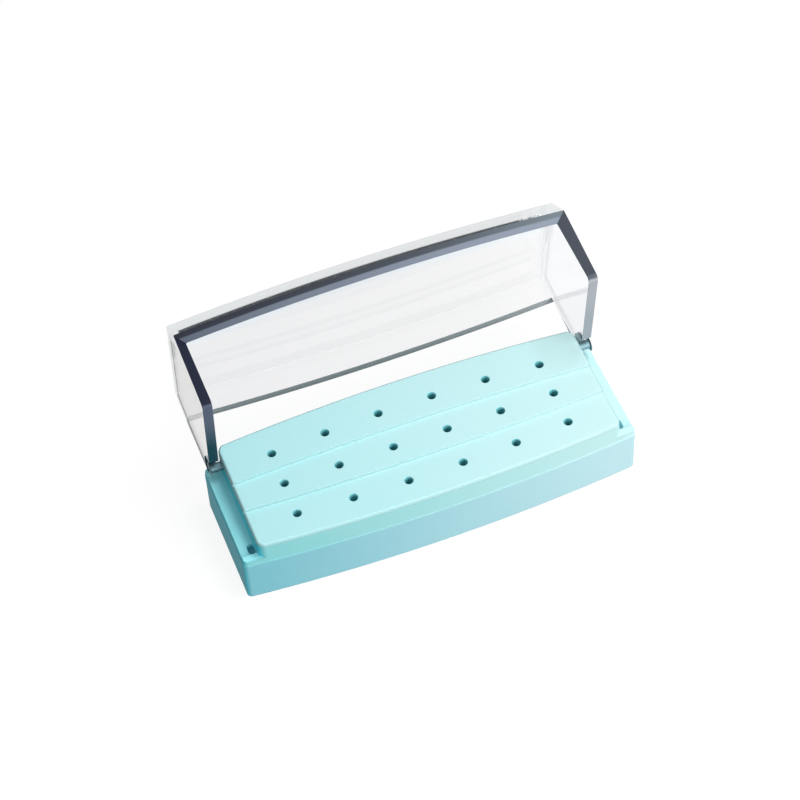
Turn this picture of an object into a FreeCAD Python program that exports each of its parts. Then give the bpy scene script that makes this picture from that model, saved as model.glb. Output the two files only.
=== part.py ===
import FreeCAD, Part
import math
import os

# Bur box: a stepped plastic block with three rows of sockets and a
# clear hood that turns on two pins. Millimetres. X runs along the rows,
# Y to the back, Z up. The origin is the middle of the underside.
# The hood is shown open, as it stands when its arms rest on the ledges.

vec = FreeCAD.Vector

# Sockets
socket_pitch = 12.0
socket_columns = 6
socket_radius = 0.85
socket_depth = 11.5
socket_mouth = 0.15          # width of the small bevel at each mouth
middle_row_y = -0.625
outer_row_offset = 7.68      # from the middle row, at the row's ends
outer_row_bow = 1.21         # more than that in the middle of the row
row_half_length = (socket_columns - 1) / 2 * socket_pitch

# Block
end_margin = 10.1            # last socket to the raised part's end wall
ledge_width = 3.5
block_half_length = row_half_length + end_margin
foot_half_length = block_half_length + ledge_width
foot_half_depth = 13.0
block_bow = 2.2              # front and back swell by this in the middle
band_height = 11.2           # the lower band ends here
band_step = 0.12             # the upper band stands back by this
ledge_top = 12.2             # floor of the two end ledges
front_tier = 16.875          # height of the front row's tier
tier_step = 0.625
tier_heights = (front_tier, front_tier + tier_step,
                front_tier + 2 * tier_step)
overlap = 1.0                # depth to which stacked forms are merged
foot_corner = 1.0
block_corner = 1.8
rim_round = 0.8
foot_bevel = 0.2

# End ledges
lip_depth = 1.4              # low lip at the front of each ledge
lip_rise = 0.5
recess_radius = 0.75         # catch recess in the ledge floor
recess_length = 2.6
recess_depth = 2.0
recess_wall_gap = 0.1        # from the raised part's end wall
recess_y = -foot_half_depth + 3.1

# Hinge
hinge_back_gap = 2.95        # from the foot's back edge, at its ends
hinge_y = foot_half_depth - hinge_back_gap
eye_radius = 3.0
rest_gap = 0.35              # between the resting arm and the ledge
hinge_z = ledge_top + rest_gap + eye_radius
pin_radius = 1.0
pin_clearance = 0.05
pin_grip = 6.0               # length held in the block
pin_tip = 0.2
open_angle = 83.0            # from closed to resting open

# Hood, measured closed and from the hinge axis: u forward, w up
hood_side_gap = 0.7          # hood's side to the foot's end face
hood_half_length = foot_half_length - hood_side_gap
wall = 2.1
front_overhang = 2.85        # closed, beyond the foot's front corners
hood_front = hinge_y + foot_half_depth + front_overhang
hood_front_bow = block_bow + 0.3
hood_back_bow = block_bow
arm_bottom = -0.4            # lower edge of the arms
window_top = 17.7            # front edge of the sloping panel
bevel_rise = 5.6
bevel_run = 4.7
roof_top = window_top + bevel_rise
roof_front = hood_front - bevel_run
back_bottom = 16.0           # lower edge of the short rear wall
lean = math.radians(90 - open_angle)
hood_back = eye_radius / math.cos(lean) + back_bottom * math.tan(lean)
hood_corner = 1.0

# Generous lengths for cutting forms
far_x = 2 * foot_half_length
far_y = 4 * foot_half_depth
far_z = 2 * (front_tier + roof_top)


def barrel_wire(half_length, front, front_bow, back, back_bow, z):
    """Closed outline with swelling long sides."""
    a = vec(-half_length, -front, z)
    b = vec(half_length, -front, z)
    c = vec(half_length, back, z)
    d = vec(-half_length, back, z)
    front_arc = Part.Arc(a, vec(0, -front - front_bow, z), b).toShape()
    right_side = Part.LineSegment(b, c).toShape()
    back_arc = Part.Arc(c, vec(0, back + back_bow, z), d).toShape()
    left_side = Part.LineSegment(d, a).toShape()
    return Part.Wire([front_arc, right_side, back_arc, left_side])


def barrel_prism(half_length, half_depth, bow, z0, z1):
    wire = barrel_wire(half_length, half_depth, bow, half_depth, bow, z0)
    return Part.Face(wire).extrude(vec(0, 0, z1 - z0))


def upright_edges(shape, half_length):
    """Edges parallel to Z at the shape's two ends."""
    found = []
    for edge in shape.Edges:
        box = edge.BoundBox
        upright = box.XLength < 0.01 and box.YLength < 0.01
        if upright and abs(abs(box.XMin) - half_length) < 0.01:
            found.append(edge)
    return found


def behind_line(y_middle, bow):
    """Solid lying behind a bowed line that crosses the block."""
    y_end = y_middle - bow
    a = vec(-foot_half_length, y_end, 0)
    b = vec(foot_half_length, y_end, 0)
    arc = Part.Arc(a, vec(0, y_middle, 0), b).toShape()
    c = vec(foot_half_length, far_y, 0)
    d = vec(-foot_half_length, far_y, 0)
    lines = Part.makePolygon([b, c, d, a]).Edges
    outline = Part.Wire([arc] + lines)
    return Part.Face(outline).extrude(vec(0, 0, far_z))


def block_foot():
    """Lower band, full length."""
    foot = barrel_prism(foot_half_length, foot_half_depth, block_bow,
                        0, band_height)
    corners = upright_edges(foot, foot_half_length)
    foot = foot.makeFillet(foot_corner, corners)
    bottom = [e for e in foot.Edges if e.BoundBox.ZMax < 0.01]
    return foot.makeChamfer(foot_bevel, bottom)


def upper_band(low, high):
    """Full-length band that stands back from the foot."""
    half_length = foot_half_length - band_step
    band = barrel_prism(half_length, foot_half_depth - band_step,
                        block_bow, low, high)
    return band.makeFillet(foot_corner, upright_edges(band, half_length))


def block_ledges():
    """Upper band up to the ledge floor."""
    return upper_band(band_height - overlap, ledge_top)


def block_lips():
    """Raised lip at the front end of each ledge."""
    band = upper_band(ledge_top - overlap, ledge_top + lip_rise)
    lip_back = -foot_half_depth + band_step + lip_depth
    strip = Part.makeBox(far_x, far_y, far_z,
                         vec(-far_x / 2, lip_back - far_y, 0))
    return band.common(strip)


def tier_slab(height):
    """Whole raised part at one height, its rim rounded."""
    slab = barrel_prism(foot_half_length - band_step,
                        foot_half_depth - band_step, block_bow,
                        band_height - overlap, height)
    ends = Part.makeBox(2 * block_half_length, far_y, far_z,
                        vec(-block_half_length, -far_y / 2, 0))
    slab = slab.common(ends)
    corners = upright_edges(slab, block_half_length)
    slab = slab.makeFillet(block_corner, corners)
    rim = [e for e in slab.Edges if e.BoundBox.ZMin > height - 0.01]
    return slab.makeFillet(rim_round, rim)


def block_tiers():
    """Raised middle part, one shallow step up behind each row."""
    front, middle, back = [tier_slab(h) for h in tier_heights]
    swell = (foot_half_length / row_half_length) ** 2
    bow = outer_row_bow / 2 * swell
    half_way = (outer_row_offset + outer_row_bow) / 2
    middle = middle.common(behind_line(middle_row_y - half_way, -bow))
    back = back.common(behind_line(middle_row_y + half_way, bow))
    return front.fuse([middle, back])


def socket_rows():
    """Height and the socket centres of the three rows."""
    rows = []
    for index, height in enumerate(tier_heights):
        side = index - 1
        for column in range(socket_columns):
            x = column * socket_pitch - row_half_length
            swell = outer_row_bow * (1 - (x / row_half_length) ** 2)
            y = middle_row_y + side * (outer_row_offset + swell)
            rows.append((x, y, height))
    return rows


def socket_tool(x, y, top):
    """Blind round hole with a small bevel at its mouth."""
    r = socket_radius
    m = socket_mouth
    points = [vec(0, 0, top - socket_depth),
              vec(r, 0, top - socket_depth),
              vec(r, 0, top - m),
              vec(r + m, 0, top),
              vec(r + m, 0, top + m),
              vec(0, 0, top + m),
              vec(0, 0, top - socket_depth)]
    tool = Part.Face(Part.makePolygon(points)).revolve(
        vec(0, 0, 0), vec(0, 0, 1), 360)
    tool.translate(vec(x, y, 0))
    return tool


def recess_tool(side):
    """Short slot in a ledge floor beside the block's end wall."""
    x = side * (block_half_length + recess_wall_gap + recess_radius)
    half = recess_length / 2 - recess_radius
    depth = recess_depth + overlap
    low = ledge_top - recess_depth
    ends = []
    for shift in (-half, half):
        ends.append(Part.makeCylinder(recess_radius, depth,
                                      vec(x, recess_y + shift, low)))
    middle = Part.makeBox(2 * recess_radius, 2 * half, depth,
                          vec(x - recess_radius, recess_y - half, low))
    return middle.fuse(ends).removeSplitter()


def pin_seat(side):
    start = vec(side * (block_half_length - pin_grip), hinge_y, hinge_z)
    return Part.makeCylinder(pin_radius, pin_grip + overlap, start,
                             vec(side, 0, 0))


def bur_block():
    body = block_foot().fuse([block_ledges(), block_lips(), block_tiers()])
    body = body.removeSplitter()
    tools = [socket_tool(*row) for row in socket_rows()]
    tools += [recess_tool(-1), recess_tool(1)]
    tools += [pin_seat(-1), pin_seat(1)]
    return body.cut(tools)


def hinge_pin(side):
    """Short steel pin, its end flush with the arm's outer face."""
    length = hood_half_length - block_half_length + pin_grip
    start = vec(side * (block_half_length - pin_grip), hinge_y, hinge_z)
    pin = Part.makeCylinder(pin_radius, length, start, vec(side, 0, 0))
    tips = [e for e in pin.Edges if e.BoundBox.XLength < 0.01]
    return pin.makeChamfer(pin_tip, tips)


def rounded_outline(half_length, front, back, corner, z):
    """Hood outline at height z with its four corners rounded."""
    wire = barrel_wire(half_length, front, hood_front_bow,
                       back, hood_back_bow, z)
    slab = Part.Face(wire).extrude(vec(0, 0, overlap))
    slab = slab.makeFillet(corner, upright_edges(slab, half_length))
    base = [f for f in slab.Faces if f.BoundBox.ZMax < z + 0.01]
    return base[0].OuterWire


def hood_skin(inset, corner):
    """Solid barrel with a sloping front panel, moved in by `inset`."""
    half = hood_half_length - inset
    back = hood_back - inset
    front = hood_front - inset
    slope = math.atan2(bevel_rise, bevel_run)
    window = window_top - inset * math.tan(slope / 2)
    roof = roof_top - inset
    run = (roof - window) / math.tan(slope)
    start = -eye_radius - overlap
    lower = rounded_outline(half, front, back, corner, start)
    body = Part.Face(lower).extrude(vec(0, 0, window - start))
    lower = rounded_outline(half, front, back, corner, window)
    upper = rounded_outline(half, front - run, back, corner, roof)
    cap = Part.makeLoft([lower, upper], True, True)
    return body.fuse(cap)


def arm_outline():
    """Side view of the hood, from the eye to the front edge."""
    start = -far_x / 2
    tangent = vec(start, eye_radius * math.cos(lean),
                  -eye_radius * math.sin(lean))
    points = [tangent,
              vec(start, hood_back, back_bottom),
              vec(start, far_y, back_bottom),
              vec(start, far_y, far_z),
              vec(start, -far_y, far_z),
              vec(start, -far_y, arm_bottom),
              vec(start, 0, arm_bottom),
              vec(start, 0, 0),
              tangent]
    side = Part.Face(Part.makePolygon(points)).extrude(vec(far_x, 0, 0))
    eye = Part.makeCylinder(eye_radius, far_x, vec(start, 0, 0),
                            vec(1, 0, 0))
    return side.fuse(eye)


def hood_opening(top, back):
    """Block between the side walls, up to `top` and back to `back`."""
    half = hood_half_length - wall
    return Part.makeBox(2 * half, far_y, top + far_z,
                        vec(-half, back - far_y, -far_z))


def flip_cover():
    """Clear hood, made closed about the hinge axis and swung open."""
    outer = hood_skin(0, hood_corner)
    inner = hood_skin(wall, hood_corner / 2)
    shell = outer.cut(inner)
    window = hood_opening(window_top, 0)
    below_back = hood_opening(back_bottom, hood_back + 2 * hood_back_bow)
    shell = shell.cut([window, below_back])
    shell = shell.common(arm_outline())
    bore = Part.makeCylinder(pin_radius + pin_clearance, far_x,
                             vec(-far_x / 2, 0, 0), vec(1, 0, 0))
    shell = shell.cut(bore)
    shell.rotate(vec(0, 0, 0), vec(1, 0, 0), -open_angle)
    shell.translate(vec(0, hinge_y, hinge_z))
    return shell


def main():
    os.makedirs("parts", exist_ok=True)
    parts = {
        "bur_block": bur_block(),
        "flip_cover": flip_cover(),
        "hinge_pin_left": hinge_pin(-1),
        "hinge_pin_right": hinge_pin(1),
    }
    for name, shape in parts.items():
        box = shape.BoundBox
        print(name, shape.isValid(), len(shape.Solids),
              round(shape.Volume, 1),
              [round(v, 2) for v in (box.XMin, box.XMax, box.YMin,
                                     box.YMax, box.ZMin, box.ZMax)])
        shape.exportStep("parts/" + name + ".step")


main()
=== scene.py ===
import math
import bpy
import bmesh
from mathutils import Matrix, Vector


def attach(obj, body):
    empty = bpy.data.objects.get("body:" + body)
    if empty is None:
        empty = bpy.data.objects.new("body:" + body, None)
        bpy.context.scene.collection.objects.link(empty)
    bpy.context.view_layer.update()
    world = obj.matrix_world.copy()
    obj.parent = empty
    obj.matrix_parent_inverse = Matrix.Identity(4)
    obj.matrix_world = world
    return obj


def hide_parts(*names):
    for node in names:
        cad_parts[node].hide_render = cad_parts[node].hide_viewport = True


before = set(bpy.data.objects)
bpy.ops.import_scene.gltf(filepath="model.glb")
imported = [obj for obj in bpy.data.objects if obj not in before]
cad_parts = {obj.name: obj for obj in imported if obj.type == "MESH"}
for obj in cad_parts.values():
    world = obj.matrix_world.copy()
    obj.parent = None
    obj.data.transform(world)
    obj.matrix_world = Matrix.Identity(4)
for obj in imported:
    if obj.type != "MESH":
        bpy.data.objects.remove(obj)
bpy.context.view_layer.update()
mm = 0.001
hair = 0.01 * mm  # slack when two places are compared
weld = 0.001 * mm  # points closer than this are joined

# bur box: a stepped block with sockets, a clear hood and two hinge pins

hinge = {"y": 10.05 * mm, "z": 15.55 * mm, "angle": math.radians(83),
         "pinRadius": 1.0 * mm, "bore": 1.05 * mm, "grip": 6.0 * mm,
         "seatGap": 0.02 * mm, "eye": 3.0 * mm}


# selecting and editing

def onlySelect(obj):
    bpy.ops.object.select_all(action="DESELECT")
    obj.select_set(True)
    bpy.context.view_layer.objects.active = obj


def startEdit(obj):
    onlySelect(obj)
    bpy.ops.object.mode_set(mode="EDIT")


def endEdit():
    bpy.ops.object.mode_set(mode="OBJECT")


def pick(obj, kind, test):  # selects what passes the test, and nothing else
    bpy.ops.mesh.select_mode(type=kind)
    bpy.ops.mesh.select_all(action="DESELECT")
    mesh = bmesh.from_edit_mesh(obj.data)
    items = {"VERT": mesh.verts, "EDGE": mesh.edges, "FACE": mesh.faces}[kind]
    for item in items:
        if not item.hide and test(item):
            item.select_set(True)
    mesh.select_flush_mode()
    bmesh.update_edit_mesh(obj.data)


def near(a, b, slack=2 * hair):
    return abs(a - b) < slack


def middle(edge):
    return (edge.verts[0].co + edge.verts[1].co) / 2


def raiseFaces(obj, test, height):
    pick(obj, "FACE", test)
    bpy.ops.mesh.extrude_region_move(
        TRANSFORM_OT_translate={"value": (0, 0, height)})


def bowLine(obj, y, amount, halfLength):  # swells one line of points in y
    pick(obj, "VERT", lambda v: near(v.co.y, y))
    bpy.ops.mesh.hide(unselected=True)
    pick(obj, "VERT", lambda v: near(v.co.x, 0))
    bpy.ops.transform.translate(
        value=(0, amount, 0), use_proportional_edit=True,
        proportional_edit_falloff="INVERSE_SQUARE",
        proportional_size=halfLength)
    bpy.ops.mesh.reveal(select=False)


def applyModifier(obj, kind, **values):
    onlySelect(obj)
    modifier = obj.modifiers.new(kind.lower(), kind)
    for key, value in values.items():
        setattr(modifier, key, value)
    bpy.ops.object.modifier_apply(modifier=modifier.name)


def cutAway(obj, tools):
    onlySelect(tools[0])
    for tool in tools:
        tool.select_set(True)
    if len(tools) > 1:
        bpy.ops.object.join()
    tool = bpy.context.view_layer.objects.active
    applyModifier(obj, "BOOLEAN", object=tool, operation="DIFFERENCE",
                  solver="EXACT")
    bpy.data.objects.remove(tool)


def weighEdges(obj, test, weight):  # how much of the bevel an edge gets
    pick(obj, "EDGE", test)
    bpy.ops.transform.edge_bevelweight(value=weight)


def finishPiece(obj, body, replaced, smooth=32):
    onlySelect(obj)
    bpy.ops.object.transform_apply(location=True, rotation=True, scale=True)
    bpy.ops.object.shade_smooth_by_angle(angle=math.radians(smooth))
    applyModifier(obj, "WEIGHTED_NORMAL", weight=100, keep_sharp=True)
    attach(obj, body)
    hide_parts(*replaced)
    print("made", obj.name, len(obj.data.polygons), "faces")


# materials

def newMaterial(name):
    material = bpy.data.materials.new(name)
    material.use_nodes = True
    nodes = material.node_tree.nodes
    nodes.clear()
    output = nodes.new("ShaderNodeOutputMaterial")
    shader = nodes.new("ShaderNodeBsdfPrincipled")
    material.node_tree.links.new(shader.outputs[0], output.inputs[0])
    return material, nodes, material.node_tree.links, shader


def objectNoise(nodes, links, scale, detail=3.0, roughness=0.5, stretch=(1, 1, 1)):
    place = nodes.new("ShaderNodeTexCoord")
    mapping = nodes.new("ShaderNodeMapping")
    mapping.inputs["Scale"].default_value = stretch
    noise = nodes.new("ShaderNodeTexNoise")
    noise.inputs["Scale"].default_value = scale
    noise.inputs["Detail"].default_value = detail
    noise.inputs["Roughness"].default_value = roughness
    links.new(place.outputs["Object"], mapping.inputs["Vector"])
    links.new(mapping.outputs["Vector"], noise.inputs["Vector"])
    return noise


def spread(nodes, links, source, low, high, fromLow=0.3, fromHigh=0.7):
    ramp = nodes.new("ShaderNodeMapRange")
    ramp.inputs["From Min"].default_value = fromLow
    ramp.inputs["From Max"].default_value = fromHigh
    ramp.inputs["To Min"].default_value = low
    ramp.inputs["To Max"].default_value = high
    links.new(source, ramp.inputs["Value"])
    return ramp.outputs["Result"]


def blend(nodes, links, factor, first, second):  # colours or sockets
    mix = nodes.new("ShaderNodeMix")
    mix.data_type = "RGBA"
    links.new(factor, mix.inputs["Factor"])
    colourSlots = (6, 7)
    for slot, value in zip(colourSlots, (first, second)):
        socket = mix.inputs[slot]
        if isinstance(value, tuple):
            socket.default_value = (*value, 1)
        else:
            links.new(value, socket)
    colourOut = 2
    return mix.outputs[colourOut]


def doMath(nodes, links, operation, first, second):  # sockets or numbers
    node = nodes.new("ShaderNodeMath")
    node.operation = operation
    for index, value in enumerate((first, second)):
        if isinstance(value, float):
            node.inputs[index].default_value = value
        else:
            links.new(value, node.inputs[index])
    return node.outputs[0]


def coordinatePart(nodes, links, kind, axis):
    place = nodes.new("ShaderNodeTexCoord")
    parts = nodes.new("ShaderNodeSeparateXYZ")
    links.new(place.outputs[kind], parts.inputs[0])
    return parts.outputs[axis]


def objectPart(nodes, links, axis):
    return coordinatePart(nodes, links, "Object", axis)


def normalPart(nodes, links, axis):
    return coordinatePart(nodes, links, "Normal", axis)


def addBump(nodes, links, shader, height, distance, strength, before=None):
    bump = nodes.new("ShaderNodeBump")
    bump.inputs["Distance"].default_value = distance
    bump.inputs["Strength"].default_value = strength
    links.new(height, bump.inputs["Height"])
    if before:
        links.new(before, bump.inputs["Normal"])
    links.new(bump.outputs["Normal"], shader.inputs["Normal"])
    return bump.outputs["Normal"]


# bur block

block = {
    "halfLength": 43.6 * mm, "halfDepth": 13.0 * mm, "bow": 2.2 * mm,
    "raisedHalf": 40.1 * mm, "bandTop": 11.2 * mm, "bandStep": 0.12 * mm,
    "ledgeTop": 12.2 * mm, "lipRise": 0.5 * mm,
    "firstTier": 16.875 * mm, "tierStep": 0.625 * mm,
    "tierBow": 1.23 * mm, "tierLines": (-3.0 * mm, 4.0 * mm),
    "tierReach": 9.0 * mm, "nookReach": 1.0 * mm, "columns": 40,
    "footCorner": 1.0 * mm, "raisedCorner": 1.86 * mm,
    "rimRound": 0.6 * mm, "edgeRound": 0.28 * mm, "stepRound": 0.12 * mm,
    "bandRound": 0.1 * mm, "sharpAngle": math.radians(40),
}
sockets = {
    "pitch": 12.0 * mm, "columns": 6, "radius": 0.85 * mm,
    "depth": 11.5 * mm, "mouth": 0.17 * mm, "middleY": -0.625 * mm,
    "offset": 7.68 * mm, "bow": 1.21 * mm,
    "mouthSteps": ((0.1 * mm, 1.06), (0.07 * mm, 1.12), (1.0 * mm, 1.0)),
}
recess = {"radius": 0.75 * mm, "straight": 0.55 * mm, "depth": 1.4 * mm,
          "x": 40.95 * mm, "y": -9.9 * mm}

aquaPlastic = {  # each tone at the left end and at the right end; the tone per facing and the change from left to right are painted light and shade
    "top": ((0.46, 0.82, 0.86), (0.60, 0.86, 0.87)),
    "front": ((0.25, 0.66, 0.68), (0.53, 0.80, 0.80)),
    "foot": ((0.22, 0.56, 0.65), (0.50, 0.75, 0.80)),
    "steps": ((0.31, 0.56, 0.58), (0.43, 0.62, 0.63)),
    "ledge": ((0.35, 0.88, 0.95), (0.60, 0.90, 0.92)),
    "ends": ((0.07, 0.67, 0.82), (0.45, 0.80, 0.86)),
    "clouds": 35.0, "cloudShift": 0.06,
    "grain": 2600.0, "grainDepth": 0.012 * mm, "roughness": (0.40, 0.52),
    "ripple": 90.0, "rippleDepth": 0.04 * mm, "shine": 0.22,
    "scatter": 0.08, "scatterTint": (0.6, 1.0, 1.1), "scatterDepth": 1.5 * mm,
    "bandZone": (-0.6 * mm, 0.4 * mm),  # about the band's top
    "ledgeZone": (-0.5 * mm, -0.2 * mm),  # about the ledge
    "topZone": (-1.0 * mm, -0.2 * mm),  # about the first tier
    "endFacing": (0.15, 0.7), "ledgeFacing": (0.3, 0.9),
    "topFacing": (0.75, 0.99),
}


def makeAquaPlastic(v=aquaPlastic):  # tones by facing and along x: painted light and shade
    material, nodes, links, shader = newMaterial("aquaPlastic")
    clouds = objectNoise(nodes, links, v["clouds"], 4.0)
    shift = v["cloudShift"]
    cloudy = spread(nodes, links, clouds.outputs["Fac"], -shift, shift)
    x, z = (objectPart(nodes, links, axis) for axis in "XZ")
    half = block["halfLength"]
    # paler towards the right: painted light from the lamp on that side, with
    # random clouds
    along = doMath(nodes, links, "ADD", cloudy,
                   spread(nodes, links, x, 0, 1, -half, half))
    tones = {name: blend(nodes, links, along, *v[name])
             for name in ("top", "steps", "front", "foot", "ledge", "ends")}

    def above(height, zone):
        return spread(nodes, links, z, 0, 1, height + zone[0], height + zone[1])

    # the tone by facing and height is painted light and shade: the ends, steps and
    # foot darker, the top and the ledge lighter
    overBand = above(block["bandTop"], v["bandZone"])
    colour = blend(nodes, links, overBand, tones["foot"], tones["front"])
    across = normalPart(nodes, links, "X")
    across = doMath(nodes, links, "MULTIPLY", across, across)
    isEnd = spread(nodes, links, across, 0, 1, *v["endFacing"])
    colour = blend(nodes, links, isEnd, colour, tones["ends"])
    up = normalPart(nodes, links, "Z")
    onLedge = doMath(nodes, links, "MULTIPLY",
                     spread(nodes, links, up, 0, 1, *v["ledgeFacing"]),
                     above(block["ledgeTop"], v["ledgeZone"]))
    colour = blend(nodes, links, onLedge, colour, tones["ledge"])
    isFlat = spread(nodes, links, up, 0, 1, *v["topFacing"])
    high = blend(nodes, links, isFlat, tones["steps"], tones["top"])
    isHigh = above(block["firstTier"], v["topZone"])
    colour = blend(nodes, links, isHigh, colour, high)
    links.new(colour, shader.inputs["Base Color"])
    grain = objectNoise(nodes, links, v["grain"], 2.0)
    links.new(spread(nodes, links, grain.outputs["Fac"], *v["roughness"]),
              shader.inputs["Roughness"])
    ripple = objectNoise(nodes, links, v["ripple"], 2.0)
    wave = addBump(nodes, links, shader, ripple.outputs["Fac"],
                   v["rippleDepth"], 0.3)
    addBump(nodes, links, shader, grain.outputs["Fac"],
            v["grainDepth"], 0.4, wave)
    shader.inputs["Subsurface Weight"].default_value = v["scatter"]
    shader.inputs["Subsurface Radius"].default_value = v["scatterTint"]
    shader.inputs["Subsurface Scale"].default_value = v["scatterDepth"]
    shader.inputs["Specular IOR Level"].default_value = v["shine"]
    return material


# the sockets' walls: painted shade for their depth, with random marks
paintedBoreShade = {"deep": (0.15, 0.50, 0.54), "pale": (0.20, 0.58, 0.62),
            "roughness": (0.45, 0.6), "marks": 1400.0, "markDepth": 0.01 * mm}


def makePaintedBoreShade(v=paintedBoreShade):  # inside the sockets: painted shade, a darker aqua than the block, with random marks
    material, nodes, links, shader = newMaterial("paintedBoreShade")
    marks = objectNoise(nodes, links, v["marks"], 2.0, stretch=(1, 1, 0.2))
    tone = spread(nodes, links, marks.outputs["Fac"], 0, 1)
    links.new(blend(nodes, links, tone, v["deep"], v["pale"]),
              shader.inputs["Base Color"])
    links.new(spread(nodes, links, marks.outputs["Fac"], *v["roughness"]),
              shader.inputs["Roughness"])
    addBump(nodes, links, shader, marks.outputs["Fac"], v["markDepth"], 0.4)
    return material


aqua = makeAquaPlastic()
bore = makePaintedBoreShade()
print("block materials ready")


def blockPlan(b):  # flat plan of the block with its bowed lines
    bpy.ops.mesh.primitive_grid_add(
        x_subdivisions=b["columns"], y_subdivisions=3, size=2)
    obj = bpy.context.object
    obj.name = "burBlock"
    startEdit(obj)
    bpy.ops.transform.resize(value=(b["raisedHalf"], b["halfDepth"], 1))
    centre = sockets["middleY"]
    halfWay = (sockets["offset"] + sockets["bow"]) / 2 - b["tierBow"]
    lines = {  # from the grid's own lines to their places
        -b["halfDepth"] / 3: centre - halfWay,
        b["halfDepth"] / 3: centre + halfWay,
    }
    for start, place in lines.items():
        pick(obj, "VERT", lambda v: near(v.co.y, start))
        bpy.ops.transform.translate(value=(0, place - start, 0))
    bowLine(obj, -b["halfDepth"], -b["bow"], b["halfLength"])
    bowLine(obj, b["halfDepth"], b["bow"], b["halfLength"])
    bowLine(obj, centre - halfWay, -b["tierBow"], b["halfLength"])
    bowLine(obj, centre + halfWay, b["tierBow"], b["halfLength"])

    def roundCorners(x, radius):
        pick(obj, "VERT", lambda v: near(abs(v.co.x), x)
             and abs(v.co.y) > b["halfDepth"] - hair)
        bpy.ops.mesh.bevel(offset=radius, segments=6, affect="VERTICES",
                           clamp_overlap=False)

    roundCorners(b["raisedHalf"], b["raisedCorner"])
    for side in (-1, 1):
        addLedge(obj, side, b)
    roundCorners(b["halfLength"], b["footCorner"])
    return obj


def addLedge(obj, side, b):  # plan of the ledge outside one end wall
    inner, outer = side * b["raisedHalf"], side * b["halfLength"]
    pick(obj, "EDGE", lambda e: all(near(v.co.x, inner) for v in e.verts))
    bpy.ops.mesh.extrude_region_move(
        TRANSFORM_OT_translate={"value": (outer - inner, 0, 0)})
    mesh = bmesh.from_edit_mesh(obj.data)
    start = max(v.co.y for v in mesh.verts if near(v.co.x, outer))
    tangent = inner - side * b["raisedCorner"]
    ends = sorted((v.co.copy() for v in mesh.verts
                   if near(v.co.x, tangent, 8 * hair)), key=lambda p: p.y)
    for way, end in ((-1, ends[0]), (1, ends[-1])):
        pick(obj, "VERT", lambda v: near(v.co.x, outer)
             and near(v.co.y, way * start))
        bpy.ops.mesh.extrude_vertices_move(TRANSFORM_OT_translate={
            "value": (0, way * (b["halfDepth"] - start), 0)})
        bpy.ops.mesh.extrude_vertices_move(TRANSFORM_OT_translate={
            "value": (end.x - outer, end.y - way * b["halfDepth"], 0)})
        bpy.ops.mesh.select_all(action="SELECT")
        bpy.ops.mesh.remove_doubles(threshold=weld)
        pick(obj, "VERT", lambda v: v.co.x * side > tangent * side - hair
             and v.co.y * way > start - hair)
        bpy.ops.mesh.edge_face_add()
    bpy.ops.mesh.select_all(action="SELECT")
    bpy.ops.mesh.normals_make_consistent(inside=False)


def makeBlock(b=block):
    obj = blockPlan(b)
    raiseFaces(obj, lambda f: True, b["bandTop"])
    top = b["bandTop"]
    pick(obj, "FACE", lambda f: near(f.calc_center_median().z, top))
    bpy.ops.mesh.inset(thickness=b["bandStep"], depth=0)
    bpy.ops.mesh.extrude_region_move(
        TRANSFORM_OT_translate={"value": (0, 0, b["ledgeTop"] - top)})
    reach = b["raisedHalf"] + hair

    def onTop(face, height):
        return near(face.calc_center_median().z, height)

    def isRaised(face):
        return all(abs(v.co.x) < reach for v in face.verts)

    def isLip(face):
        return all(v.co.y < 0.8 * -b["halfDepth"] for v in face.verts)

    top = b["ledgeTop"]
    raiseFaces(obj, lambda f: onTop(f, top) and (isRaised(f) or isLip(f)),
               b["lipRise"])
    top += b["lipRise"]
    raiseFaces(obj, lambda f: onTop(f, top) and isRaised(f),
               b["firstTier"] - top)
    top = b["firstTier"]
    for line in b["tierLines"]:
        raiseFaces(obj, lambda f: onTop(f, top)
                   and f.calc_center_median().y > line, b["tierStep"])
        top += b["tierStep"]
    roundBlock(obj, b)
    return obj


def roundBlock(obj, b):
    def isSharp(e):
        return e.is_manifold and e.calc_face_angle(0) > b["sharpAngle"]

    def isStep(e):  # the shallow steps between the tiers
        a, c = (v.co for v in e.verts)
        upright = near(a.x, c.x) and near(a.y, c.y)
        inside = abs(middle(e).y) < b["tierReach"]
        across = not near(a.x, c.x)
        high = middle(e).z > b["firstTier"] - hair
        return high and inside and (across or upright)

    def isBand(e):
        return near(middle(e).z, b["bandTop"])

    def isRim(e):
        return middle(e).z > b["firstTier"] - hair and not isStep(e)

    def isNook(e):  # hollow angles, and where the corner meets the lip
        spot = middle(e)
        hollow = near(spot.z, b["ledgeTop"]) or near(spot.z, lipTop)
        inward = abs(spot.x) < b["halfLength"] - b["bandStep"] - 5 * hair
        beside = abs(spot.x) < b["raisedHalf"] + b["nookReach"]
        edgeOn = abs(spot.y) > b["halfDepth"] - b["bandStep"] - hair
        return hollow and inward and (beside or not edgeOn)

    lipTop = b["ledgeTop"] + b["lipRise"]
    width = b["rimRound"]
    weighEdges(obj, isSharp, b["edgeRound"] / width)
    for test, part in ((isRim, b["rimRound"]), (isStep, b["stepRound"]),
                       (isBand, b["bandRound"]), (isNook, 0.0)):
        share = part / width
        pick(obj, "EDGE", lambda e: isSharp(e) and test(e))
        bpy.ops.transform.edge_bevelweight(value=-1)
        bpy.ops.transform.edge_bevelweight(value=share)
    endEdit()
    applyModifier(obj, "BEVEL", width=width, segments=4,
                  limit_method="WEIGHT", use_clamp_overlap=False)


def shiftedCopy(obj, place):
    copy = obj.copy()
    copy.data = obj.data.copy()
    copy.location = place
    bpy.context.scene.collection.objects.link(copy)
    return copy


def withMaterials(obj, materials, index):
    for material in materials:
        obj.data.materials.append(material)
    for face in obj.data.polygons:
        face.material_index = index
    return obj


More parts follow.
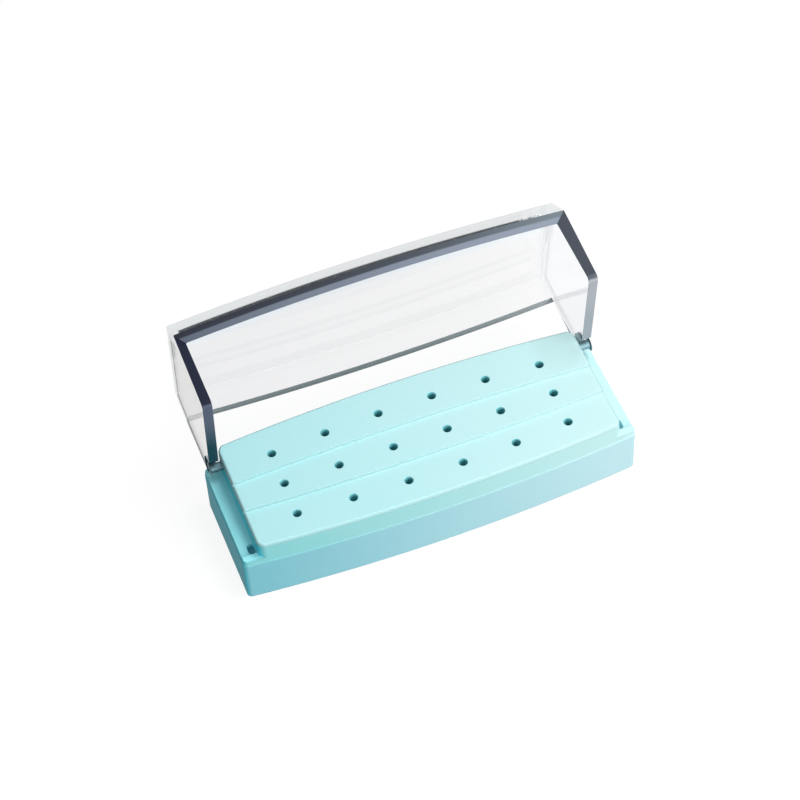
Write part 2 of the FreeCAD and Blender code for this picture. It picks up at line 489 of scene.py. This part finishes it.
def socketTool(s=sockets):  # its origin is the middle of the mouth
    straight = s["depth"] - s["mouth"]
    bpy.ops.mesh.primitive_cylinder_add(
        vertices=32, radius=s["radius"], depth=straight,
        location=(0, 0, -s["mouth"] - straight / 2))
    obj = bpy.context.object
    startEdit(obj)
    pick(obj, "FACE", lambda f: near(f.calc_center_median().z, straight / 2))
    for rise, growth in s["mouthSteps"]:
        bpy.ops.mesh.extrude_region_move(
            TRANSFORM_OT_translate={"value": (0, 0, rise)})
        bpy.ops.transform.resize(value=(growth, growth, 1))
    endEdit()
    onlySelect(obj)
    bpy.ops.object.transform_apply(location=True)
    return withMaterials(obj, (aqua, bore), 1)


def recessTool(r=recess):
    bpy.ops.mesh.primitive_cylinder_add(
        vertices=24, radius=r["radius"], depth=2 * r["depth"])
    obj = bpy.context.object
    startEdit(obj)
    for way in (-1, 1):
        pick(obj, "VERT", lambda v: v.co.y * way > hair)
        bpy.ops.transform.translate(value=(0, way * r["straight"], 0))
    endEdit()
    return withMaterials(obj, (aqua, bore), 0)


def seatTool():
    bpy.ops.mesh.primitive_cylinder_add(
        vertices=32, radius=hinge["pinRadius"] + hinge["seatGap"],
        depth=hinge["grip"] * 2, rotation=(0, math.pi / 2, 0))
    obj = bpy.context.object
    bpy.ops.object.transform_apply(rotation=True)
    return withMaterials(obj, (aqua, bore), 0)


def drillBlock(obj, s=sockets):
    reach = (s["columns"] - 1) / 2 * s["pitch"]
    first = socketTool()
    tools = []
    for row in (-1, 0, 1):
        top = block["firstTier"] + (row + 1) * block["tierStep"]
        for column in range(s["columns"]):
            x = column * s["pitch"] - reach
            swell = s["bow"] * (1 - (x / reach) ** 2)
            y = s["middleY"] + row * (s["offset"] + swell)
            tools.append(shiftedCopy(first, (x, y, top)))
    bpy.data.objects.remove(first)
    for tool, x, y, z in (
            (recessTool(), recess["x"], recess["y"], block["ledgeTop"]),
            (seatTool(), block["raisedHalf"], hinge["y"], hinge["z"])):
        tools += [shiftedCopy(tool, (side * x, y, z)) for side in (-1, 1)]
        bpy.data.objects.remove(tool)
    cutAway(obj, tools)


burBlock = makeBlock()
withMaterials(burBlock, (aqua, bore), 0)
drillBlock(burBlock)
finishPiece(burBlock, "block", ["bur_block"])


# clear hood, modelled shut about the hinge axis and then swung open

hood = {
    "halfLength": 42.9 * mm, "wall": 2.1 * mm, "front": 25.9 * mm,
    "frontBow": 2.5 * mm, "backBow": 2.2 * mm, "bottom": -0.4 * mm,
    "windowTop": 17.7 * mm, "roofTop": 23.3 * mm, "roofFront": 21.2 * mm,
    "backBottom": 15.4 * mm, "columns": 40, "rimSwell": 0.5 * mm,
    "freeCorner": 1.2 * mm,
    "bendRound": 0.7 * mm, "arris": 0.25, "bendAngle": math.radians(25),
    "rimBelow": (0.5 * mm, 2.5 * mm), "rimWithin": (0.5 * mm, 3.0 * mm),
}
lean = math.pi / 2 - hinge["angle"]  # of the open hood's walls
hood["back"] = hinge["eye"] / math.cos(lean) + hood["backBottom"] * math.tan(lean)


def bowedLevel(nodes, links, x, z):  # height measured along the hood's bow
    square = doMath(nodes, links, "MULTIPLY", x, x)
    bowed = doMath(nodes, links, "MULTIPLY", square,
                   hood["frontBow"] / hood["halfLength"] ** 2)
    return doMath(nodes, links, "ADD", z, bowed)


clearPlastic = {  # each tint at the left end and at the right end; paler to the right is painted light, the bluish glow near the rim a painted highlight, the wall tints painted light by facing
    "panel": ((0.860, 0.863, 0.874), (0.930, 0.932, 0.936)),
    "glow": ((0.83, 0.90, 0.965), (0.90, 0.945, 0.975)),
    "walls": ((0.98, 0.975, 0.96), (0.95, 0.96, 0.985)),
    "roughness": 0.012, "ior": 1.33, "shade": (0.925, 0.935, 0.94),
    "haze": 60.0, "flow": 28.0, "flowDepth": 0.03 * mm,
    "highlightZone": (33.0 * mm, 35.5 * mm), "wallFacing": (0.2, 0.6),
    "bendClear": 0.88, "bendFade": 0.4 * mm, "bendReach": 0.6 * mm,
    # planes of the roof, the arms' underside and the sloping window
    "roofSlope": 0.1228, "roofDepth": 32.7 * mm, "armUnderside": 13.5 * mm,
    "windowTilt": (0.545, 0.839), "windowDepth": 49.0 * mm,
}


def bendMask(nodes, links, x, y, z, v):  # window, and bends at the ends
    fade = v["bendFade"]

    def depth(ySlope, zSlope, height, low):
        sloped = doMath(nodes, links, "ADD",
                        doMath(nodes, links, "MULTIPLY", y, ySlope),
                        doMath(nodes, links, "MULTIPLY", height, zSlope))
        return spread(nodes, links, sloped, 0, 1, low, low + fade)

    outward = doMath(nodes, links, "ABSOLUTE", x, 0.0)
    inner = hood["halfLength"] - hood["wall"] - v["bendReach"]
    isEnd = spread(nodes, links, outward, 0, 1, inner, inner + fade)
    roof = depth(1.0, v["roofSlope"], z, v["roofDepth"])
    under = depth(0.0, -1.0, z, -v["armUnderside"])
    bend = doMath(nodes, links, "MAXIMUM", roof, under)
    bend = doMath(nodes, links, "MULTIPLY", isEnd, bend)
    window = depth(*v["windowTilt"], bowedLevel(nodes, links, x, z),
                   v["windowDepth"])
    return doMath(nodes, links, "MAXIMUM", bend, window)


def makeClearPlastic(v=clearPlastic):  # casts only a faint shade
    material, nodes, links, shader = newMaterial("clearPlastic")
    haze = objectNoise(nodes, links, v["haze"], 3.0)
    links.new(spread(nodes, links, haze.outputs["Fac"],
                     v["roughness"], v["roughness"] * 2.5),
              shader.inputs["Roughness"])
    flow = objectNoise(nodes, links, v["flow"], 1.0, stretch=(0.35, 1, 1))
    addBump(nodes, links, shader, flow.outputs["Fac"], v["flowDepth"], 0.03)
    x, y, z = (objectPart(nodes, links, axis) for axis in "XYZ")
    half = hood["halfLength"]
    # tints paler to the right, bluish near the rim and differing on the walls:
    # painted light and a painted highlight
    along = spread(nodes, links, x, 0, 1, -half, half)
    colour = blend(nodes, links, along, *v["panel"])
    level = bowedLevel(nodes, links, x, z)
    nearRim = spread(nodes, links, level, 0, 1, *v["highlightZone"])
    colour = blend(nodes, links, nearRim, colour,
                   blend(nodes, links, along, *v["glow"]))
    across = normalPart(nodes, links, "X")
    across = doMath(nodes, links, "MULTIPLY", across, across)
    isWall = spread(nodes, links, across, 0, 1, *v["wallFacing"])
    links.new(blend(nodes, links, isWall, colour,
                    blend(nodes, links, along, *v["walls"])),
              shader.inputs["Base Color"])
    shader.inputs["Transmission Weight"].default_value = 1.0
    shader.inputs["IOR"].default_value = v["ior"]
    path = nodes.new("ShaderNodeLightPath")
    # the window strip and the end bends mostly show the plain shade tint in place
    # of their reflections: a painted even shade
    soft = doMath(nodes, links, "MAXIMUM", path.outputs["Is Shadow Ray"],
                  path.outputs["Is Diffuse Ray"])
    faint = doMath(nodes, links, "MULTIPLY",
                   bendMask(nodes, links, x, y, z, v), v["bendClear"])
    soft = doMath(nodes, links, "MAXIMUM", soft, faint)
    bare = nodes.new("ShaderNodeBsdfTransparent")
    bare.inputs["Color"].default_value = (*v["shade"], 1)
    mix = nodes.new("ShaderNodeMixShader")
    links.new(soft, mix.inputs["Fac"])
    links.new(shader.outputs[0], mix.inputs[1])
    links.new(bare.outputs[0], mix.inputs[2])
    output = next(n for n in nodes if n.type == "OUTPUT_MATERIAL")
    links.new(mix.outputs[0], output.inputs["Surface"])
    return material


edgeLightAndShade = {
    "tones": {  # each tone at the left end and at the right end; all are painted shade and painted reflection, darker at the left
        "sideEdge": ((0.014, 0.018, 0.038), (0.09, 0.105, 0.13)),
        "armUpper": ((0.085, 0.105, 0.16), (0.40, 0.42, 0.46)),
        "armLower": ((0.007, 0.046, 0.064), (0.33, 0.37, 0.40)),
        "eye": ((0.012, 0.07, 0.10), (0.42, 0.52, 0.54)),
        "frontBand": ((0.08, 0.10, 0.14), (0.225, 0.262, 0.325)),
        "backEdge": ((0.44, 0.50, 0.51), (0.68, 0.72, 0.74)),
        "underside": ((0.74, 0.75, 0.75), (0.80, 0.82, 0.84)),
    },
    "frontLine": ((0.014, 0.018, 0.032), (0.15, 0.185, 0.21)),
    "lineRise": 3.0,  # the painted dark front line stays dark past the middle
    "roughness": (0.35, 0.50), "shine": 0.12,
    "streaks": 120.0, "streakDepth": 0.02 * mm,
    "eyeZone": (16.5 * mm, 18.0 * mm), "armZone": (25.0 * mm, 34.0 * mm),
    "lineZone": (44.75 * mm, 45.0 * mm),  # height along the front's bow
    "farZone": (15.0 * mm, 16.0 * mm),  # from the arms to the edges behind
    "underZone": (12.7 * mm, 12.85 * mm), "endFade": 0.1 * mm,
    "nearFacing": (0.35, 0.75), "frontFacing": (0.25, 0.35),
    "farFacing": (0.80, 0.88),
}


def makeEdgeLightAndShade(v=edgeLightAndShade):  # the free edges of the clear hood: an opaque sheet of painted shade and painted reflection in place of clear plastic
    material, nodes, links, shader = newMaterial("edgeLightAndShade")
    x, y, z = (objectPart(nodes, links, axis) for axis in "XYZ")
    half = hood["halfLength"]
    along = spread(nodes, links, x, 0, 1, -half, half)
    tones = {name: blend(nodes, links, along, *ends)
             for name, ends in v["tones"].items()}
    late = doMath(nodes, links, "POWER", along, v["lineRise"])
    frontLine = blend(nodes, links, late, *v["frontLine"])

    def rising(source, zone):
        return spread(nodes, links, source, 0, 1, *zone)

    # by zone: the arms darker low down, the eye darker still, the back edge and
    # the undersides pale: painted shade and painted reflection
    arm = blend(nodes, links, rising(z, v["armZone"]),
                tones["armLower"], tones["armUpper"])
    arm = blend(nodes, links, rising(z, v["eyeZone"]), tones["eye"], arm)
    up = normalPart(nodes, links, "Z")
    arm = blend(nodes, links, rising(up, v["nearFacing"]),
                arm, tones["sideEdge"])
    level = bowedLevel(nodes, links, x, z)
    front = blend(nodes, links, rising(level, v["lineZone"]),
                  tones["frontBand"], frontLine)
    back = blend(nodes, links, rising(up, v["frontFacing"]),
                 tones["backEdge"], front)
    back = blend(nodes, links, rising(up, v["farFacing"]),
                 back, tones["sideEdge"])
    colour = blend(nodes, links, rising(y, v["farZone"]), arm, back)
    inner = half - hood["wall"] - 4 * v["endFade"]
    isEnd = rising(doMath(nodes, links, "ABSOLUTE", x, 0.0),
                   (inner, inner + v["endFade"]))
    isUnder = doMath(nodes, links, "MULTIPLY", isEnd, spread(
        nodes, links, z, 1, 0, *v["underZone"]))
    colour = blend(nodes, links, isUnder, colour, tones["underside"])
    links.new(colour, shader.inputs["Base Color"])
    streaks = objectNoise(nodes, links, v["streaks"], 3.0, stretch=(0.15, 1, 1))
    links.new(spread(nodes, links, streaks.outputs["Fac"], *v["roughness"]),
              shader.inputs["Roughness"])
    addBump(nodes, links, shader, streaks.outputs["Fac"], v["streakDepth"], 0.15)
    shader.inputs["Specular IOR Level"].default_value = v["shine"]
    return material


clear = makeClearPlastic()
edge = makeEdgeLightAndShade()
print("hood materials ready")


def hoodSheet(h):
    bpy.ops.mesh.primitive_grid_add(
        x_subdivisions=h["columns"], y_subdivisions=1, size=2)
    obj = bpy.context.object
    obj.name = "clearHood"
    startEdit(obj)
    half = (h["roofFront"] + h["back"]) / 2
    bpy.ops.transform.resize(value=(h["halfLength"], half, 1))
    bpy.ops.transform.translate(
        value=(0, h["back"] - half, h["roofTop"]))
    bowLine(obj, -h["roofFront"], -h["frontBow"], h["halfLength"])
    bowLine(obj, h["back"], h["backBow"], h["halfLength"])

    def isLong(e):  # runs along the hood, not up its side
        return abs(e.verts[0].co.x - e.verts[1].co.x) > 10 * hair

    pick(obj, "EDGE", lambda e: isLong(e)
         and middle(e).y < -h["roofFront"] + 5 * hair)
    bpy.ops.mesh.extrude_region_move(TRANSFORM_OT_translate={
        "value": (0, h["roofFront"] - h["front"],
                  h["windowTop"] - h["roofTop"])})
    pick(obj, "EDGE", lambda e: isLong(e)
         and middle(e).y > h["back"] - 5 * hair)
    bpy.ops.mesh.extrude_region_move(TRANSFORM_OT_translate={
        "value": (0, 0, h["backBottom"] - h["roofTop"])})
    for side in (-1, 1):
        armSheet(obj, side * h["halfLength"], h)
    bpy.ops.mesh.select_all(action="SELECT")
    bpy.ops.mesh.remove_doubles(threshold=weld)
    bpy.ops.mesh.normals_make_consistent(inside=False)
    return obj


def armSheet(obj, x, h):  # one side wall, drawn round from the front corner
    eye = hinge["eye"]
    lowest = -math.sqrt(eye ** 2 - h["bottom"] ** 2)

    def at(v, y, z):
        return near(v.co.x, x) and near(v.co.y, y) and near(v.co.z, z)

    pick(obj, "VERT", lambda v: at(v, -h["front"], h["windowTop"]))
    for move in ((0, 0, h["bottom"] - h["windowTop"]),
                 (0, h["front"] + lowest, 0)):
        bpy.ops.mesh.extrude_vertices_move(
            TRANSFORM_OT_translate={"value": move})
    start = math.atan2(h["bottom"], lowest)
    turn = -lean - start
    bpy.ops.mesh.spin(steps=18, angle=turn, center=(x, 0, 0), axis=(1, 0, 0))
    tangent = (eye * math.cos(lean), -eye * math.sin(lean))
    pick(obj, "VERT", lambda v: at(v, *tangent)
         or at(v, h["back"], h["backBottom"]))
    bpy.ops.mesh.edge_face_add()
    pick(obj, "VERT", lambda v: near(v.co.x, x))
    bpy.ops.mesh.edge_face_add()
    pick(obj, "VERT", lambda v: at(v, -h["front"], h["bottom"]))
    bpy.ops.mesh.bevel(offset=h["freeCorner"], segments=5, affect="VERTICES")


def boreTool(side):
    bpy.ops.mesh.primitive_cylinder_add(
        vertices=40, radius=hinge["bore"], depth=3 * hood["wall"],
        location=(side * hood["halfLength"], 0, 0),
        rotation=(0, math.pi / 2, 0))
    return withMaterials(bpy.context.object, (clear, edge), 1)


def makeHood(h=hood):
    obj = hoodSheet(h)
    endEdit()
    withMaterials(obj, (clear, edge), 0)
    applyModifier(obj, "SOLIDIFY", thickness=h["wall"], offset=-1,
                  use_even_offset=True, use_quality_normals=True,
                  material_offset_rim=1)
    startEdit(obj)

    def bend(e):
        rim = any(f.material_index for f in e.link_faces)
        return not rim and e.calc_face_angle(0) > h["bendAngle"]

    def arris(e):
        rim = any(f.material_index for f in e.link_faces)
        return rim and e.calc_face_angle(0) > h["bendAngle"]

    def innerRim(v):  # inner edge of the window's free end
        level = v.co.z - h["windowTop"]
        inside = v.co.y + h["front"] + h["frontBow"] * (
            1 - (v.co.x / h["halfLength"]) ** 2)
        reach = h["halfLength"] - 0.5 * h["wall"]
        onRim = any(f.material_index for f in v.link_faces)
        below, within = h["rimBelow"], h["rimWithin"]
        return (onRim and abs(v.co.x) < reach
                and below[0] < -level < below[1]
                and within[0] < inside < within[1])

    pick(obj, "VERT", innerRim)
    slope = math.atan2(h["front"] - h["roofFront"],
                       h["roofTop"] - h["windowTop"])
    bpy.ops.transform.translate(value=(
        0, h["rimSwell"] * math.cos(slope), -h["rimSwell"] * math.sin(slope)))
    weighEdges(obj, bend, 1.0)
    weighEdges(obj, arris, h["arris"])
    endEdit()
    applyModifier(obj, "BEVEL", width=h["bendRound"], segments=4,
                  limit_method="WEIGHT", use_clamp_overlap=True)
    cutAway(obj, [boreTool(-1), boreTool(1)])
    obj.rotation_euler = (-hinge["angle"], 0, 0)
    obj.location = (0, hinge["y"], hinge["z"])
    return obj


clearHood = makeHood()
finishPiece(clearHood, "hood", ["flip_cover"], 25)


# hinge pins

pinSteel = {  # each tone at the left end and at the right end; paler to the right is painted light, and the teal tint a painted reflection of the aqua block; worn and base follow the turning marks
    "base": ((0.14, 0.26, 0.30), (0.24, 0.38, 0.42)),
    "worn": ((0.10, 0.19, 0.22), (0.18, 0.30, 0.34)),
    "roughness": (0.48, 0.60), "metallic": 0.7,
    "turning": 900.0, "turningDepth": 0.01 * mm,
}


def makePinSteel(v=pinSteel):
    material, nodes, links, shader = newMaterial("pinSteel")
    turning = objectNoise(nodes, links, v["turning"], 3.0, stretch=(4, 1, 1))
    x = objectPart(nodes, links, "X")
    half = hood["halfLength"]
    # paler to the right: painted light
    along = spread(nodes, links, x, 0, 1, -half, half)
    worn, base = (blend(nodes, links, along, *v[name])
                  for name in ("worn", "base"))
    tone = spread(nodes, links, turning.outputs["Fac"], 0, 1)
    links.new(blend(nodes, links, tone, worn, base),
              shader.inputs["Base Color"])
    links.new(spread(nodes, links, turning.outputs["Fac"], *v["roughness"]),
              shader.inputs["Roughness"])
    addBump(nodes, links, shader, turning.outputs["Fac"],
            v["turningDepth"], 0.3)
    shader.inputs["Metallic"].default_value = v["metallic"]
    return material


steel = makePinSteel()
print("pin material ready")

pin = {"dome": 0.35 * mm, "dimple": 0.3 * mm,
       "dimpleSide": 0.06 * mm, "dimpleDepth": 0.08 * mm}


def makePin(v=pin):  # its origin is the inner end
    length = hood["halfLength"] - block["raisedHalf"] + hinge["grip"]
    bpy.ops.mesh.primitive_cylinder_add(
        vertices=48, radius=hinge["pinRadius"], depth=length,
        location=(length / 2, 0, 0), rotation=(0, math.pi / 2, 0))
    obj = bpy.context.object
    obj.name = "hingePinRight"
    startEdit(obj)
    pick(obj, "EDGE", lambda e: near(abs(e.verts[0].co.z), length / 2)
         and near(e.verts[0].co.z, e.verts[1].co.z))
    bpy.ops.mesh.bevel(offset=v["dome"], segments=5, profile=0.5,
                       affect="EDGES")
    pick(obj, "FACE", lambda f: near(f.calc_center_median().z, length / 2))
    bpy.ops.mesh.inset(thickness=v["dimple"], depth=0)
    bpy.ops.mesh.inset(thickness=v["dimpleSide"], depth=-v["dimpleDepth"])
    endEdit()
    onlySelect(obj)
    bpy.ops.object.transform_apply(location=True, rotation=True)
    obj.data.materials.append(steel)
    return obj


seat = block["raisedHalf"] - hinge["grip"]
pinRight = makePin()
pinLeft = shiftedCopy(pinRight, (-seat, hinge["y"], hinge["z"]))
pinLeft.name = "hingePinLeft"
pinLeft.rotation_euler = (0, 0, math.pi)
pinRight.location = (seat, hinge["y"], hinge["z"])
finishPiece(pinLeft, "block", ["hinge_pin_left"], 30)
finishPiece(pinRight, "block", ["hinge_pin_right"], 30)


# floor, light and camera

studio = {
    "floorSize": 3.0, "floorShade": 0.15, "floorGlow": 0.88,
    "ambient": 0.34, "mirrored": 0.6,
    "aim": (0, 0, 0.01),
    "lamps": {  # place, size, power
        "keyLamp": ((0.25, -0.19, 0.28), 0.20, 0.62),
        "frontLamp": ((0.12, -0.70, 0.22), 0.45, 3.85),
        "topLamp": ((0.28, 0.02, 0.86), 0.30, 2.7),
    },
}


def makeFloor(v=studio):
    bpy.ops.mesh.primitive_plane_add(size=v["floorSize"])
    floor = bpy.context.object
    floor.name = "floor"
    material, nodes, links, shader = newMaterial("floorPaper")
    shade = v["floorShade"]
    grain = objectNoise(nodes, links, 40.0, 2.0)
    links.new(blend(nodes, links, spread(nodes, links, grain.outputs["Fac"], 0, 1),
                    (shade, shade, shade), (shade * 1.01,) * 3),
              shader.inputs["Base Color"])
    shader.inputs["Roughness"].default_value = 0.9
    shader.inputs["Specular IOR Level"].default_value = 0.0
    path = nodes.new("ShaderNodeLightPath")
    seen = doMath(nodes, links, "MAXIMUM", path.outputs["Is Camera Ray"],
                  path.outputs["Is Transmission Ray"])
    mirrored = doMath(nodes, links, "MULTIPLY", path.outputs["Is Glossy Ray"],
                      v["mirrored"])
    seen = doMath(nodes, links, "MAXIMUM", seen, mirrored)
    glow = doMath(nodes, links, "MULTIPLY", seen, v["floorGlow"])
    shader.inputs["Emission Color"].default_value = (1, 1, 1, 1)
    links.new(glow, shader.inputs["Emission Strength"])
    floor.data.materials.append(material)


def makeWorld(v=studio):
    world = bpy.data.worlds.new("studioWorld")
    bpy.context.scene.world = world
    world.use_nodes = True
    nodes, links = world.node_tree.nodes, world.node_tree.links
    nodes.clear()
    output = nodes.new("ShaderNodeOutputWorld")
    light = nodes.new("ShaderNodeBackground")
    path = nodes.new("ShaderNodeLightPath")
    seen = doMath(nodes, links, "MAXIMUM", path.outputs["Is Camera Ray"],
                  path.outputs["Is Transmission Ray"])
    mirrored = doMath(nodes, links, "MULTIPLY", path.outputs["Is Glossy Ray"],
                      v["mirrored"])
    seen = doMath(nodes, links, "MAXIMUM", seen, mirrored)
    level = doMath(nodes, links, "MAXIMUM", seen, v["ambient"])
    links.new(level, light.inputs["Strength"])
    light.inputs["Color"].default_value = (1, 1, 1, 1)
    links.new(light.outputs[0], output.inputs[0])


def addLamp(name, place, size, power):
    lamp = bpy.data.lights.new(name, "AREA")
    lamp.shape = "SQUARE"
    lamp.size = size
    lamp.energy = power
    obj = bpy.data.objects.new(name, lamp)
    bpy.context.scene.collection.objects.link(obj)
    obj.location = place
    aim = Vector(studio["aim"]) - Vector(place)
    obj.rotation_mode = "QUATERNION"
    obj.rotation_quaternion = aim.to_track_quat("-Z", "Y")


camera = {
    "azimuth": -18.13, "elevation": 52.49, "roll": -3.78,
    "place": (-103.78 * mm, -305.72 * mm, 450.52 * mm), "lens": 117.1,
    "sensor": 36.0, "clip": (0.01, 20.0),
}


def makeCamera(v=camera):
    a, e, r = (math.radians(v[k]) for k in ("azimuth", "elevation", "roll"))
    back = Vector((math.sin(a) * math.cos(e),
                   -math.cos(a) * math.cos(e), math.sin(e)))
    right = Vector((math.cos(a), math.sin(a), 0))
    up = back.cross(right)
    across = right * math.cos(r) + up * math.sin(r)
    upward = up * math.cos(r) - right * math.sin(r)
    data = bpy.data.cameras.new("camera")
    data.lens = v["lens"]
    data.sensor_width = v["sensor"]
    data.clip_start, data.clip_end = v["clip"]
    obj = bpy.data.objects.new("camera", data)
    bpy.context.scene.collection.objects.link(obj)
    turn = Matrix((across, upward, back)).transposed().to_4x4()
    obj.matrix_world = Matrix.Translation(v["place"]) @ turn
    bpy.context.scene.camera = obj


makeFloor()
makeWorld()
for name, values in studio["lamps"].items():
    addLamp(name, *values)
makeCamera()
bpy.context.scene.view_settings.view_transform = "Standard"
print("stage, lamps and camera done")
